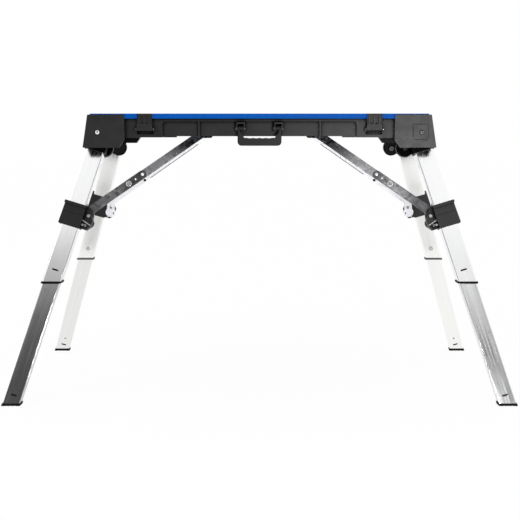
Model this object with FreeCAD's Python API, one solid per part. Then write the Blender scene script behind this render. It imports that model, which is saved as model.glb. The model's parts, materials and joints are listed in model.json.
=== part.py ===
import FreeCAD, Part
import math
import os

V = FreeCAD.Vector
os.makedirs("parts", exist_ok=True)

# Frame: millimetres, X along the bench, the handle side faces -Y, +Z up, floor at Z = 0.
# A running fit is the play between two pieces that turn or slide on each other;
# touch is how near an edge lies to a level to be chosen for rounding.
fit = 0.1
touch = 0.05
gap = 0.3
cut_over = 5.0

# Work surface
top_length = 1007.0
top_depth = 500.0
top_height = 855.0
top_thick = 14.5
top_corner = 12.0
top_bevel = 1.2
top_under = top_height - top_thick
half_length = top_length / 2
half_depth = top_depth / 2

# Long rails; a drop is a level given downwards from the work surface, and an inset a
# place given inwards from the end of the board
rail_setback = 7.0
rail_thick = 30.0
rail_wall = 4.0
rail_drop = 70.0
rail_inset = 21.5
panel_inset = 215.5
panel_top_drop = 23.0
panel_low_drop = 66.0
panel_deep = 6.0
panel_corner = 9.0
rib_x = 180.0
rib_wide = 5.0
rib_drop = 72.0
step_drop = 86.4
step_inset = 136.0
rear_step_inset = 67.5
step_chamfer = 12.0
step_back = 8.0
step_line_drop = 72.0
web_count = 12
web_thick = 3.0
rail_front = half_depth - rail_setback
rail_back = rail_front - rail_thick
rail_bottom = top_height - rail_drop
rail_half = half_length - rail_inset
panel_half = half_length - panel_inset
panel_top = top_height - panel_top_drop
panel_bottom = top_height - panel_low_drop
rib_bottom = top_height - rib_drop
step_bottom = top_height - step_drop
step_line = top_height - step_line_drop
step_start = half_length - step_inset
rear_step_start = half_length - rear_step_inset

# End rails
end_rail_thick = 24.0
end_rail_drop = 54.0
end_rail_setback = 1.5
end_web_count = 5
end_rail_bottom = top_height - end_rail_drop

# Corner housings
house_inset = {"front": 103.8, "rear": 67.5}
house_top_out = 5.0
house_slope = 0.165
house_top_drop = 3.0
house_low_drop = {"front": 100.0, "rear": 89.0}
house_chamfer_x = 17.0
house_chamfer_z = 22.0
house_wall = 4.0
house_proud = 4.0
house_flange = 46.0
house_edge = 2.0
house_shelf = 5.0
pad_size = 44.0
pad_proud = 1.6
pad_corner = 3.0
bolt_inset = 24.0
bolt_drop = 55.0
bolt_head_r = 6.0
bolt_head_high = 4.0
bolt_shank_r = 3.0
bolt_socket_r = 2.6
bolt_socket_deep = 2.4
pad_shift_x = -3.0
pad_shift_z = 1.5
house_front = half_depth + house_proud
house_inner = {row: half_length - inset for row, inset in house_inset.items()}
house_top_outer = half_length + house_top_out
house_top = top_height - house_top_drop
house_low = {row: top_height - drop for row, drop in house_low_drop.items()}
bolt_x = half_length - bolt_inset
bolt_z = top_height - bolt_drop

# Carrying handle
handle_half = 65.0
handle_arm = 18.0
handle_drop = 94.5
handle_grip = 23.5
handle_thick = 15.0
handle_clear = 5.0
handle_y = rail_front + handle_clear + handle_thick / 2
handle_pin_drop = 44.0
handle_barrel_r = 7.5
handle_corner = 12.0
handle_edge = 3.0
wave_count = 4
wave_deep = 1.4
clevis_wall = 3.2
clevis_high = 18.0
clevis_nose = 8.0
hood_thick = 4.0
pin_r = 2.2
pin_head_r = 3.2
pin_head_long = 1.8
handle_low = top_height - handle_drop
handle_pivot_z = top_height - handle_pin_drop

# Top latches
latch_inset = 164.0
latch_wide = 45.0
latch_pin_drop = 46.0
latch_barrel_r = 5.0
latch_hook = 13.0
latch_lip = 3.0
latch_ribs = 3
latch_rib_wide = 6.5
latch_rib_deep = 2.2
latch_rib_drop = 29.0
latch_lug = 3.4
latch_lug_high = 9.0
latch_step = 2.5
recess_half = 24.5
recess_high = 10.0
recess_deep = 6.0
latch_x = half_length - latch_inset
latch_y = half_depth + latch_barrel_r - latch_step
latch_pivot_z = top_height - latch_pin_drop
latch_rib_low = top_height - latch_rib_drop

# Leg planes: every leg moves in a plane that leans inwards by the lean share of the height,
# and its centre line is splayed outwards, downwards, by the splay share. The insets are
# given at the level of the work surface.
lean_share = 0.2435
splay_share = 0.3152
plane_inset = 103.2
head_inset = 39.0
plane_foot = half_depth - plane_inset + lean_share * top_height
foot_x = half_length - head_inset + splay_share * top_height
lean = math.atan(lean_share)
splay = math.atan(splay_share * math.cos(lean))

# Tubes
outer_wide = 55.0
outer_thick = 30.0
outer_wall = 2.2
outer_corner = 4.0
outer_end_z = 358.5
inner_wide = 48.6
inner_thick = 23.6
inner_wall = 1.6
inner_corner = 2.5
inner_lap = 62.0
groove_wide = 1.2
groove_deep = 0.5
groove_inset = 6.5
slot_wide = 20.0
inner_slot_wide = 18.0
slot_high = 5.0
outer_slot_up = 33.0
inner_slot_up = 30.0
button_up = 42.0
button_r = 7.2
button_out = 3.4
button_deep = 1.4
button_tip_r = 2.4
ring_lip = 2.0
ring_high = 6.0
ring_bush = 24.0
foot_lip = 2.2
foot_high = 7.0
foot_plug = 22.0
foot_plug_wall = 3.0
foot_tread_count = 3
foot_tread_wide = 3.0
foot_tread_deep = 1.5

# Leg heads and their hinges
head_wall = 5.5
head_side = 4.0
head_low_drop = 113.5
head_high_drop = 68.0
head_cap = 4.0
knuckle_r = 27.0
knuckle_thick = 12.0
knuckle_rim = 4.0
knuckle_rim_deep = 2.0
pivot_r = 5.0
pivot_head_r = 9.0
pivot_head_high = 5.5
pivot_skin = 1.2
cheek_r = 22.0
cheek_thick = 4.0
beam_thick = 4.0
beam_half = 30.0
beam_lip = 11.0
beam_over = 1.7
pivot_inset = {"right": 57.0, "left": 26.5}
pivot_drop = 98.0
pivot_x = {side: half_length - inset for side, inset in pivot_inset.items()}
pivot_z = top_height - pivot_drop
head_low_z = top_height - head_low_drop
head_high_z = top_height - head_high_drop
beam_reach = plane_foot - lean_share * top_under + beam_over

# Braces: a lower link turns on the ear bolt of its collar, on a lobe below the line of the
# brace, and an upper link on the anchor pin. Distances along the brace start at its foot.
ear_bolt_in = 42.55
ear_bolt_up = 9.48
brace_foot_in = 1.7
brace_foot_up = 21.4
brace_high_inset = 328.5
brace_high_drop = 51.7
link_half = 13.0
link_slim = 12.5
link_thick = 3.0
link_flange_long = 93.0
link_flange_start = 20.0
link_flange_high = 6.0
link_flange_thick = 2.0
lobe_r = 17.0
lobe_shift_x = 3.3
lobe_shift_z = -18.0
lobe_slot_wide = 8.0
lobe_slot_high = 3.0
lobe_slot_in = 9.6
lobe_slot_down = 3.5
elbow_along = {"right": 181.0, "left": 159.0}
washer_along = 141.0
rivet_along = {"right": 162.0, "left": 184.0}
washer_r = 6.6
rivet_r = 3.4
elbow_r = 5.2
link_end = 190.0
stud_high = 2.2
brace_pin_r = 4.0
brace_pin_head_r = 5.0
brace_pin_head_high = 2.6
tab_thick = 3.0
tab_drop = 65.4
tab_out = 13.0
tab_in = 17.0
tab_corner = 8.0
bar_half = 22.0
bar_shift = -5.0
brace_high_x = half_length - brace_high_inset
brace_high_z = top_height - brace_high_drop
tab_low_z = top_height - tab_drop

# Collars, given from the centre line of the leg; ear places are given from the ear bolt
collar_z = 551.5
collar_long = 73.0
collar_out_top = 35.2
collar_out_low = 36.8
collar_in = 29.5
collar_wall = 3.0
collar_lip_long = 9.0
collar_lip_out = 2.4
collar_groove_up = 40.0
collar_groove_wide = 1.6
collar_groove_deep = 0.9
ear_top = 27.0
ear_neck_in = 6.5
ear_neck_up = 3.9
ear_in = 16.5
ear_high = -9.0
ear_low = -27.4
ear_foot_in = 5.2
ear_down = 42.2
ear_thick = 24.0
clamp_spots = ((8.7, -31.3), (0.3, -30.4))
clamp_head_r = 4.0
clamp_head_high = 3.5
clamp_shank_r = 2.5


def box(x0, x1, y0, y1, z0, z1):
    return Part.makeBox(x1 - x0, y1 - y0, z1 - z0, V(x0, y0, z0))


def prism(points, low, high):
    """A straight prism over a polygon in the local XY plane."""
    ring = [V(x, y, low) for x, y in points]
    return Part.Face(Part.makePolygon(ring + ring[:1])).extrude(V(0, 0, high - low))


def rod(x, y, radius, low, high):
    return Part.makeCylinder(radius, high - low, V(x, y, low))


def round_along(shape, radius, direction):
    """Rounds every straight edge that runs along a direction."""
    edges = []
    for e in shape.Edges:
        if e.Curve.TypeId != "Part::GeomLine":
            continue
        run = e.tangentAt(e.FirstParameter)
        if run.cross(direction).Length < 1e-6:
            edges.append(e)
    return shape.makeFillet(radius, edges)


def rounded_block(wide, deep, low, high, radius):
    """An upright block of rounded plan about the local Z axis."""
    half_w, half_d = wide / 2, deep / 2
    return round_along(box(-half_w, half_w, -half_d, half_d, low, high), radius, V(0, 0, 1))


def square_block(wide, deep, low, high):
    """An upright block about the local Z axis, for hollows and what fits into them."""
    return box(-wide / 2, wide / 2, -deep / 2, deep / 2, low, high)


def stadium(p, q, half, low, high):
    """A flat bar of round ends from p to q in the local XY plane."""
    run = V(q[0] - p[0], q[1] - p[1], 0)
    length = run.Length
    bar = box(0, length, -half, half, low, high)
    bar = bar.fuse(rod(0, 0, half, low, high)).fuse(rod(length, 0, half, low, high))
    bar = bar.removeSplitter()
    turn = math.degrees(math.atan2(run.y, run.x))
    bar.Placement = FreeCAD.Placement(V(p[0], p[1], 0), FreeCAD.Rotation(V(0, 0, 1), turn))
    return bar


def hexagon(x, y, radius, low, high):
    corners = [
        (x + radius * math.cos(math.radians(a)), y + radius * math.sin(math.radians(a)))
        for a in range(0, 360, 60)
    ]
    return prism(corners, low, high)


def profile_x(points, low, high):
    """A prism along X over a polygon given as (y, z)."""
    ring = [V(low, y, z) for y, z in points]
    return Part.Face(Part.makePolygon(ring + ring[:1])).extrude(V(high - low, 0, 0))


def profile_y(points, low, high):
    """A prism along Y over a polygon given as (x, z)."""
    ring = [V(x, low, z) for x, z in points]
    return Part.Face(Part.makePolygon(ring + ring[:1])).extrude(V(0, high - low, 0))


def to_left(shape):
    return shape.mirror(V(0, 0, 0), V(1, 0, 0))


def to_rear(shape):
    return shape.mirror(V(0, 0, 0), V(0, 1, 0))


def at_corner(shape, row, side):
    """Takes a shape of the front right corner to another corner."""
    if side == "left":
        shape = to_left(shape)
    if row == "rear":
        shape = to_rear(shape)
    return shape


def save(name, *solids):
    shape = solids[0] if len(solids) == 1 else Part.makeCompound(list(solids))
    shape.exportStep("parts/" + name + ".step")


CORNERS = [(row, side) for row in ("front", "rear") for side in ("right", "left")]

# Local frames of the front right leg. In the plane frame x runs outboard, y runs up the
# leaning plane and z points to the outside. In the leg frame y runs up the tubes.
plane_frame = FreeCAD.Placement(
    V(0, -plane_foot, 0), FreeCAD.Rotation(V(1, 0, 0), 90 - math.degrees(lean))
)
leg_frame = plane_frame.multiply(
    FreeCAD.Placement(V(foot_x, 0, 0), FreeCAD.Rotation(V(0, 0, 1), math.degrees(splay)))
)


def rise(z):
    """Height above the floor as a distance up the leaning plane."""
    return z / math.cos(lean)


def along(z):
    """Height above the floor as a distance up the centre line of a leg."""
    return rise(z) / math.cos(splay)


def in_plane(shape):
    shape.Placement = plane_frame.multiply(shape.Placement)
    return shape


def in_leg(shape):
    shape.Placement = leg_frame.multiply(shape.Placement)
    return shape


def leg_spot(x, z):
    """A point of the plane frame, given by X and height, in the leg frame."""
    dx, dy = x - foot_x, rise(z)
    c, s = math.cos(splay), math.sin(splay)
    return (dx * c + dy * s, -dx * s + dy * c)


def plane_spot(a, s):
    """A point of the leg frame in the plane frame."""
    c, d = math.cos(splay), math.sin(splay)
    return (foot_x + a * c - s * d, a * d + s * c)


def below(z):
    """Everything of a front right leg that is lower than a level."""
    return box(0, 2 * foot_x, -2 * plane_foot, 0, z - half_length, z)


# Work surface with two seats for the latch hooks
top = box(-half_length, half_length, -half_depth, half_depth, top_under, top_height)
top = round_along(top, top_corner, V(0, 0, 1))
rim = [e for e in top.Edges if e.BoundBox.ZMin > top_height - touch]
top = top.makeChamfer(top_bevel, rim)
for centre in (-latch_x, latch_x):
    seat_half = latch_wide / 2 + gap
    seat_back = -half_depth + latch_hook + gap
    seat_low = top_height - latch_lip - gap
    seat = box(
        centre - seat_half, centre + seat_half,
        -half_depth - cut_over, seat_back,
        seat_low, top_height + cut_over,
    )
    top = top.cut(seat)
save("work_top", top)


# Long rails
def long_rail(front):
    """The rail of the handle side, or the plain rail of the other side."""
    y_out, y_in = -rail_front, -rail_back
    start = step_start if front else rear_step_start
    outline = [
        (-rail_half, top_under), (-rail_half, step_bottom), (-start, step_bottom),
        (-start + step_chamfer, rail_bottom), (start - step_chamfer, rail_bottom),
        (start, step_bottom), (rail_half, step_bottom), (rail_half, top_under),
    ]
    rail = profile_y(outline, y_out, y_in)
    low_cut = step_bottom - cut_over
    for sign in (-1, 1):
        near, far = sorted((sign * (start - 2 * step_chamfer), sign * (rail_half + cut_over)))
        rail = rail.cut(box(near, far, y_out - cut_over, y_out + step_back, low_cut, step_line))
    panel = box(
        -panel_half, panel_half, y_out - cut_over, y_out + panel_deep,
        rail_bottom - cut_over, panel_top,
    )
    upright = [
        e for e in panel.Edges
        if abs(e.tangentAt(e.FirstParameter).y) > 0.9 and e.CenterOfMass.z > panel_bottom
    ]
    rail = rail.cut(panel.makeFillet(panel_corner, upright))
    rail = rail.cut(
        box(-panel_half, panel_half, y_out - cut_over, y_in + cut_over, low_cut, panel_bottom)
    )
    for sign in (-1, 1):
        middle = sign * rib_x
        rail = rail.fuse(
            box(
                middle - rib_wide / 2, middle + rib_wide / 2,
                y_out, y_out + panel_deep + rail_wall, rib_bottom, panel_top,
            )
        )
    pocket_front = y_out + panel_deep + rail_wall
    pitch = (2 * rail_half - web_thick) / web_count
    for i in range(web_count):
        cell = -rail_half + web_thick + i * pitch
        end = cell + pitch - web_thick
        low = rail_bottom + rail_wall + (panel_bottom - rail_bottom)
        rail = rail.cut(
            box(cell, end, pocket_front, y_in + cut_over, low, top_under - rail_wall)
        )
    if not front:
        return rail.removeSplitter()
    y_pivot = -handle_y
    for sign in (-1, 1):
        arm_out, arm_in = handle_half, handle_half - handle_arm
        for a, b in ((arm_in - clevis_wall, arm_in - gap), (arm_out + gap, arm_out + clevis_wall)):
            x0, x1 = sorted((sign * a, sign * b))
            cheek = box(
                x0, x1, y_pivot - clevis_nose, y_out + panel_deep,
                handle_pivot_z - clevis_nose, handle_pivot_z + clevis_high,
            )
            rail = rail.fuse(cheek)
        x0, x1 = sorted((sign * (arm_in - clevis_wall), sign * (arm_out + clevis_wall)))
        hood = box(
            x0, x1, y_pivot - clevis_nose, y_out + panel_deep,
            handle_pivot_z + clevis_high - hood_thick, handle_pivot_z + clevis_high,
        )
        rail = rail.fuse(hood)
        recess_top = latch_pivot_z - latch_barrel_r
        rail = rail.cut(
            box(
                sign * latch_x - recess_half, sign * latch_x + recess_half,
                y_out - cut_over, y_out + recess_deep, recess_top - recess_high, recess_top,
            )
        )
        for edge in (-1, 1):
            inner = latch_wide / 2 + gap
            spots = sorted((edge * inner, edge * (inner + latch_lug)))
            lug = box(
                sign * latch_x + spots[0], sign * latch_x + spots[1],
                -latch_y - latch_barrel_r, y_out,
                latch_pivot_z - latch_barrel_r, latch_pivot_z + latch_lug_high - latch_barrel_r,
            )
            rail = rail.fuse(lug)
    handle_reach = handle_half + clevis_wall + cut_over
    latch_reach = latch_wide / 2 + gap + latch_lug + cut_over
    bores = (
        (0, handle_reach, y_pivot, handle_pivot_z),
        (-latch_x, latch_reach, -latch_y, latch_pivot_z),
        (latch_x, latch_reach, -latch_y, latch_pivot_z),
    )
    for middle, reach, y, z in bores:
        start = V(middle - reach, y, z)
        rail = rail.cut(Part.makeCylinder(pin_r, 2 * reach, start, V(1, 0, 0)))
    return rail.removeSplitter()


def with_bolt_holes(rail):
    for sign in (-1, 1):
        start = V(sign * bolt_x, -half_length, bolt_z)
        rail = rail.cut(Part.makeCylinder(bolt_shank_r, half_length, start, V(0, 1, 0)))
    return rail


save("front_rail", with_bolt_holes(long_rail(True)))
save("rear_rail", to_rear(with_bolt_holes(long_rail(False))))


# End rails
def end_rail():
    x_out = half_length - end_rail_setback
    x_in = x_out - end_rail_thick
    rail = box(x_in, x_out, -rail_back, rail_back, end_rail_bottom, top_under)
    pitch = (2 * rail_back - web_thick) / end_web_count
    for i in range(end_web_count):
        start = -rail_back + web_thick + i * pitch
        rail = rail.cut(
            box(
                x_in - cut_over, x_out - rail_wall, start, start + pitch - web_thick,
                end_rail_bottom - cut_over, top_under - rail_wall,
            )
        )
    return rail


save("end_rail_right", end_rail())
save("end_rail_left", to_left(end_rail()))


# Corner housings
def housing(row, padded):
    inner, low = house_inner[row], house_low[row]

    def outer_at(z):
        return house_top_outer + house_slope * (house_top - z)

    outline = [
        (inner, house_top), (inner, low + house_chamfer_z), (inner + house_chamfer_x, low),
        (outer_at(low), low), (house_top_outer, house_top),
    ]
    y_front, y_plate = -house_front, -house_front + house_wall
    face = profile_y(outline, y_front, y_plate)
    face = round_along(face, house_edge, V(0, 1, 0))
    flange = profile_y(
        [
            (outer_at(low) - house_wall, low), (outer_at(low), low),
            (outer_at(top_under), top_under), (outer_at(top_under) - house_wall, top_under),
        ],
        y_front + house_edge, y_front + house_flange,
    )
    inner_flange = box(
        inner, inner + house_wall, y_front + house_edge, -rail_front,
        low + house_chamfer_z + house_edge, top_under,
    )
    shelf = box(
        inner, outer_at(top_under) - house_wall / 2, y_plate - house_edge, -rail_front,
        top_under - house_shelf, top_under,
    )
    brace_rib = box(
        rail_half + gap, outer_at(top_under), y_plate - house_edge, -rail_back - gap,
        bolt_z - house_wall / 2, bolt_z + house_wall / 2,
    )
    post = box(
        bolt_x - 2 * bolt_head_r, bolt_x, y_plate - house_edge, -rail_front,
        bolt_z - bolt_head_r, bolt_z + bolt_head_r,
    )
    cover = face.fuse([flange, inner_flange, shelf, brace_rib, post]).removeSplitter()
    if padded:
        cx, cz = bolt_x + pad_shift_x, bolt_z + pad_shift_z
        pad = box(
            cx - pad_size / 2, cx + pad_size / 2, y_front - pad_proud, y_plate,
            cz - pad_size / 2, cz + pad_size / 2,
        )
        cover = cover.fuse(round_along(pad, pad_corner, V(0, 1, 0))).removeSplitter()
    hole = Part.makeCylinder(bolt_shank_r, half_length, V(bolt_x, -half_length, bolt_z), V(0, 1, 0))
    return cover.cut(hole)


# The raised pads sit on two corners that face each other across the middle of the bench.
def is_padded(row, side):
    return (row == "front") == (side == "right")


bolts = []
for row, side in CORNERS:
    padded = is_padded(row, side)
    save("housing_" + row + "_" + side, at_corner(housing(row, padded), row, side))
    seat = -house_front - (pad_proud if padded else 0)
    head = Part.makeCylinder(
        bolt_head_r, bolt_head_high, V(bolt_x, seat - bolt_head_high, bolt_z), V(0, 1, 0)
    )
    crown = [e for e in head.Edges if abs(e.CenterOfMass.y - seat + bolt_head_high) < touch]
    head = head.makeChamfer(bolt_head_high / 3, crown)
    socket = hexagon(0, 0, bolt_socket_r, 0, bolt_socket_deep + cut_over)
    socket.Placement = FreeCAD.Placement(
        V(bolt_x, seat - bolt_head_high + bolt_socket_deep, bolt_z),
        FreeCAD.Rotation(V(1, 0, 0), 90),
    )
    shank = Part.makeCylinder(
        bolt_shank_r, -rail_back - seat, V(bolt_x, seat, bolt_z), V(0, 1, 0)
    )
    bolts.append(at_corner(head.cut(socket).fuse(shank).removeSplitter(), row, side))
save("housing_bolts", *bolts)


# Carrying handle: a loop with finger waves on the inner side of its grip
def handle():
    arm_in = handle_half - handle_arm
    low, grip_top = handle_low, handle_low + handle_grip
    y0, y1 = -handle_y - handle_thick / 2, -handle_y + handle_thick / 2
    body = box(-handle_half, handle_half, y0, y1, low, handle_pivot_z)
    corners = [e for e in body.Edges if e.BoundBox.ZMax < low + touch and e.BoundBox.XLength < touch]
    body = body.makeFillet(handle_corner, corners)
    hole = box(-arm_in, arm_in, y0 - cut_over, y1 + cut_over, grip_top, handle_pivot_z + cut_over)
    lower = [
        e for e in hole.Edges
        if abs(e.tangentAt(e.FirstParameter).y) > 0.9 and e.CenterOfMass.z < grip_top + touch
    ]
    body = body.cut(hole.makeFillet(handle_edge, lower))
    pitch = 2 * arm_in / (wave_count + 1)
    wave_r = (pitch * pitch / 4 + wave_deep * wave_deep) / (2 * wave_deep)
    for i in range(wave_count):
        x = -arm_in + pitch * (i + 1)
        centre = V(x, y0 - cut_over, grip_top + wave_r - wave_deep)
        body = body.cut(Part.makeCylinder(wave_r, y1 - y0 + 2 * cut_over, centre, V(0, 1, 0)))
    rims = []
    for e in body.Edges:
        box_e = e.BoundBox
        if box_e.ZMax < low + handle_corner + touch and box_e.YLength < touch:
            rims.append(e)
    body = body.makeFillet(handle_edge, rims)
    for sign in (-1, 1):
        start = sorted((sign * arm_in, sign * handle_half))[0]
        barrel = Part.makeCylinder(
            handle_barrel_r, handle_arm, V(start, -handle_y, handle_pivot_z), V(1, 0, 0)
        )
        body = body.fuse(barrel)
        hole = Part.makeCylinder(
            pin_r + fit, handle_arm, V(start, -handle_y, handle_pivot_z), V(1, 0, 0)
        )
        body = body.cut(hole)
    return body.removeSplitter()


save("handle", handle())


# Latches: a ribbed plate that hooks over the edge of the work surface
def latch():
    half = latch_wide / 2
    y_out = -latch_y - latch_barrel_r
    y_plate = -half_depth - gap
    hook_low = top_height - latch_lip
    side = [
        (y_out + latch_step, top_height - latch_step), (y_out + 2 * latch_step, top_height),
        (-half_depth + latch_hook, top_height), (-half_depth + latch_hook, hook_low),
        (y_plate, hook_low), (y_plate, latch_pivot_z), (y_out, latch_pivot_z),
        (y_out, latch_rib_low - latch_step), (y_out + latch_step, latch_rib_low),
    ]
    body = profile_x(side, -half, half)
    body = body.fuse(
        Part.makeCylinder(latch_barrel_r, latch_wide, V(-half, -latch_y, latch_pivot_z), V(1, 0, 0))
    )
    pitch = latch_wide / latch_ribs
    for i in range(latch_ribs):
        x = -half + pitch * (i + 1 / 2)
        rib = box(
            x - latch_rib_wide / 2, x + latch_rib_wide / 2,
            y_out + latch_step - latch_rib_deep, y_out + 2 * latch_step,
            latch_rib_low - latch_step, top_height - latch_step - latch_rib_deep,
        )
        body = body.fuse(rib)
    bore = Part.makeCylinder(
        pin_r + fit, latch_wide, V(-half, -latch_y, latch_pivot_z), V(1, 0, 0)
    )
    return body.cut(bore).removeSplitter()


for side, sign in (("right", 1), ("left", -1)):
    save("latch_" + side, latch().translated(V(sign * latch_x, 0, 0)))


def cross_pin(x0, x1, y, z):
    """A pin along X with a small head on each end."""
    pin = Part.makeCylinder(pin_r, x1 - x0, V(x0, y, z), V(1, 0, 0))
    for x in (x0 - pin_head_long, x1):
        pin = pin.fuse(Part.makeCylinder(pin_head_r, pin_head_long, V(x, y, z), V(1, 0, 0)))
    return pin.removeSplitter()


pins = []
for sign in (-1, 1):
    arm_from = handle_half - handle_arm - clevis_wall
    x0, x1 = sorted((sign * arm_from, sign * (handle_half + clevis_wall)))
    pins.append(cross_pin(x0, x1, -handle_y, handle_pivot_z))
    reach = latch_wide / 2 + gap + latch_lug
    pins.append(cross_pin(sign * latch_x - reach, sign * latch_x + reach, -latch_y, latch_pivot_z))
save("rail_pins", *pins)


# Turns a shape that stands on local Z so that it stands on the leg frame's Y.
stand = FreeCAD.Placement(V(0, 0, 0), FreeCAD.Rotation(V(1, 0, 0), -90))


def upright(shape):
    shape.Placement = stand.multiply(shape.Placement)
    return shape


# Leg tubes
outer_low = along(outer_end_z)
head_high = along(head_high_z)
tube_top = head_high - head_cap
button_at = outer_low + button_up
inner_top = outer_low + inner_lap
slide_travel = min(
    along(outer_end_z - ring_high - foot_high), tube_top - inner_top
)


def cross_slot(high, wide, s, low, top_m):
    """A slot across the leg whose round ends lie on the centre height s."""
    reach = (wide - high) / 2
    return stadium((-reach, s), (reach, s), high / 2, low, top_m)


def tube(wide, thick, wall, corner, low, high):
    """A rounded box section that runs up the leg."""
    shape = rounded_block(wide, thick, low, high, corner)
    hollow = square_block(wide - 2 * wall, thick - 2 * wall, low - cut_over, high + cut_over)
    return upright(shape.cut(hollow))


def outer_tube():
    start = outer_low - outer_wide
    shape = tube(outer_wide, outer_thick, outer_wall, outer_corner, start, tube_top)
    shape = shape.cut(
        cross_slot(slot_high, slot_wide, outer_low + outer_slot_up, 0, outer_thick)
    )
    shape = shape.cut(rod(0, button_at, button_r + fit, -outer_thick, 0))
    return in_leg(shape).cut(below(outer_end_z))


def inner_tube():
    start = -inner_wide
    shape = tube(inner_wide, inner_thick, inner_wall, inner_corner, start, inner_top)
    face = inner_thick / 2
    for sign in (-1, 1):
        a = sign * (inner_wide / 2 - groove_inset)
        for m in (face - groove_deep, -face - cut_over):
            groove = box(
                a - groove_wide / 2, a + groove_wide / 2, start, inner_top + cut_over,
                m, m + groove_deep + cut_over,
            )
            shape = shape.cut(groove)
    shape = shape.cut(
        cross_slot(slot_high, inner_slot_wide, inner_slot_up, -inner_thick, inner_thick)
    )
    for s in (button_at, button_at - slide_travel):
        shape = shape.cut(rod(0, s, button_tip_r + 2 * gap, -inner_thick, 0))
    return in_leg(shape).cut(below(foot_high))


def level_slice(shape, low, high):
    """The part of a front right leg shape between two levels above the floor."""
    return shape.cut(below(low)).common(below(high))


def end_ring():
    start = outer_low - outer_wide
    stop = outer_low + outer_wide
    hollow = square_block(
        inner_wide + 2 * fit, inner_thick + 2 * fit, start - cut_over, stop + cut_over
    )
    lip = rounded_block(
        outer_wide + 2 * ring_lip, outer_thick + 2 * ring_lip, start, stop, outer_corner
    )
    lip = in_leg(upright(lip.cut(hollow)))
    lip = level_slice(lip, outer_end_z - ring_high, outer_end_z)
    bush_wide = outer_wide - 2 * outer_wall
    bush_thick = outer_thick - 2 * outer_wall
    bush = square_block(bush_wide, bush_thick, start, outer_low + ring_bush)
    bush = in_leg(upright(bush.cut(hollow))).cut(below(outer_end_z))
    return lip.fuse(bush).removeSplitter()


def foot():
    tall = rounded_block(
        inner_wide + 2 * foot_lip, inner_thick + 2 * foot_lip, -inner_wide, inner_wide, inner_corner
    )
    pad = level_slice(in_leg(upright(tall)), 0, foot_high)
    plug_wide = inner_wide - 2 * inner_wall
    plug_thick = inner_thick - 2 * inner_wall
    plug = square_block(plug_wide, plug_thick, -inner_wide, foot_plug)
    hollow = square_block(
        plug_wide - 2 * foot_plug_wall, plug_thick - 2 * foot_plug_wall,
        along(foot_high) + foot_plug_wall, foot_plug + cut_over,
    )
    plug = in_leg(upright(plug.cut(hollow))).cut(below(foot_high))
    body = pad.fuse(plug).removeSplitter()
    pitch = inner_wide / (foot_tread_count + 1)
    for i in range(foot_tread_count):
        x = foot_x - inner_wide / 2 + pitch * (i + 1)
        body = body.cut(
            box(
                x - foot_tread_wide / 2, x + foot_tread_wide / 2,
                -2 * plane_foot, 0, -cut_over, foot_tread_deep,
            )
        )
    return body


def lock_button():
    face = -outer_thick / 2
    head_in = face + button_deep
    head = rod(0, button_at, button_r, face - button_out, head_in)
    crown = [e for e in head.Edges if abs(e.CenterOfMass.z - face + button_out) < touch]
    head = head.makeChamfer(button_out / 3, crown)
    tip = rod(0, button_at, button_tip_r, head_in, -inner_thick / 2 - gap)
    return in_leg(head.fuse(tip).removeSplitter())


# Leg heads: a shoe over the tube with a hinge knuckle on its inner face
shoe_wide = outer_wide + 2 * head_wall
shoe_thick = outer_thick + 2 * head_side
knuckle_face = -shoe_thick / 2
knuckle_back = knuckle_face - knuckle_thick
head_low = along(head_low_z)


def leg_head(side):
    px, py = leg_spot(pivot_x[side], pivot_z)
    shoe = rounded_block(shoe_wide, shoe_thick, head_low, head_high, outer_corner)
    hollow = rounded_block(
        outer_wide, outer_thick, head_low - cut_over, tube_top, outer_corner
    )
    shoe = upright(shoe.cut(hollow))
    half = shoe_wide / 2
    reach = knuckle_r - knuckle_rim
    arm = prism(
        [
            (px, py - reach), (half - 2 * head_wall, head_low + head_wall),
            (half - 2 * head_wall, head_high - head_wall), (px, py + reach),
        ],
        knuckle_back, knuckle_face,
    )
    knuckle = rod(px, py, knuckle_r, knuckle_back, knuckle_face)
    body = shoe.fuse([arm, knuckle]).removeSplitter()
    rim_cut = rod(px, py, knuckle_r - knuckle_rim, knuckle_face - knuckle_rim_deep, knuckle_face)
    hub = rod(px, py, pivot_r + knuckle_rim, knuckle_face - knuckle_rim_deep, knuckle_face)
    clear_a = -half if side == "right" else px
    window = box(
        px - knuckle_r, clear_a, py - knuckle_r, py + knuckle_r,
        knuckle_face - knuckle_rim_deep, knuckle_face + cut_over,
    )
    if side == "right":
        body = body.cut(rim_cut.cut(hub).common(window))
    bore_top = knuckle_face + cut_over if side == "right" else knuckle_face - knuckle_rim_deep
    body = body.cut(rod(px, py, pivot_r + fit, knuckle_back - cut_over, bore_top))
    return in_leg(body)


def pivot_bolt(side):
    """The right hinges have a bolt with its nut, the left ones a pin that shows on no side."""
    x, y = pivot_x[side], rise(pivot_z)
    cheek_back = knuckle_back - gap - cheek_thick
    if side == "left":
        tip = knuckle_face - knuckle_rim_deep - gap
        return in_plane(rod(x, y, pivot_r, cheek_back + pivot_skin, tip))
    nut_low = knuckle_face + gap
    bolt = rod(x, y, pivot_r, cheek_back, nut_low + pivot_head_high / 2)
    bolt = bolt.fuse(hexagon(x, y, pivot_head_r, cheek_back - pivot_head_high, cheek_back))
    bolt = bolt.fuse(hexagon(x, y, pivot_head_r, nut_low, nut_low + pivot_head_high))
    return in_plane(bolt.removeSplitter())


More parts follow.
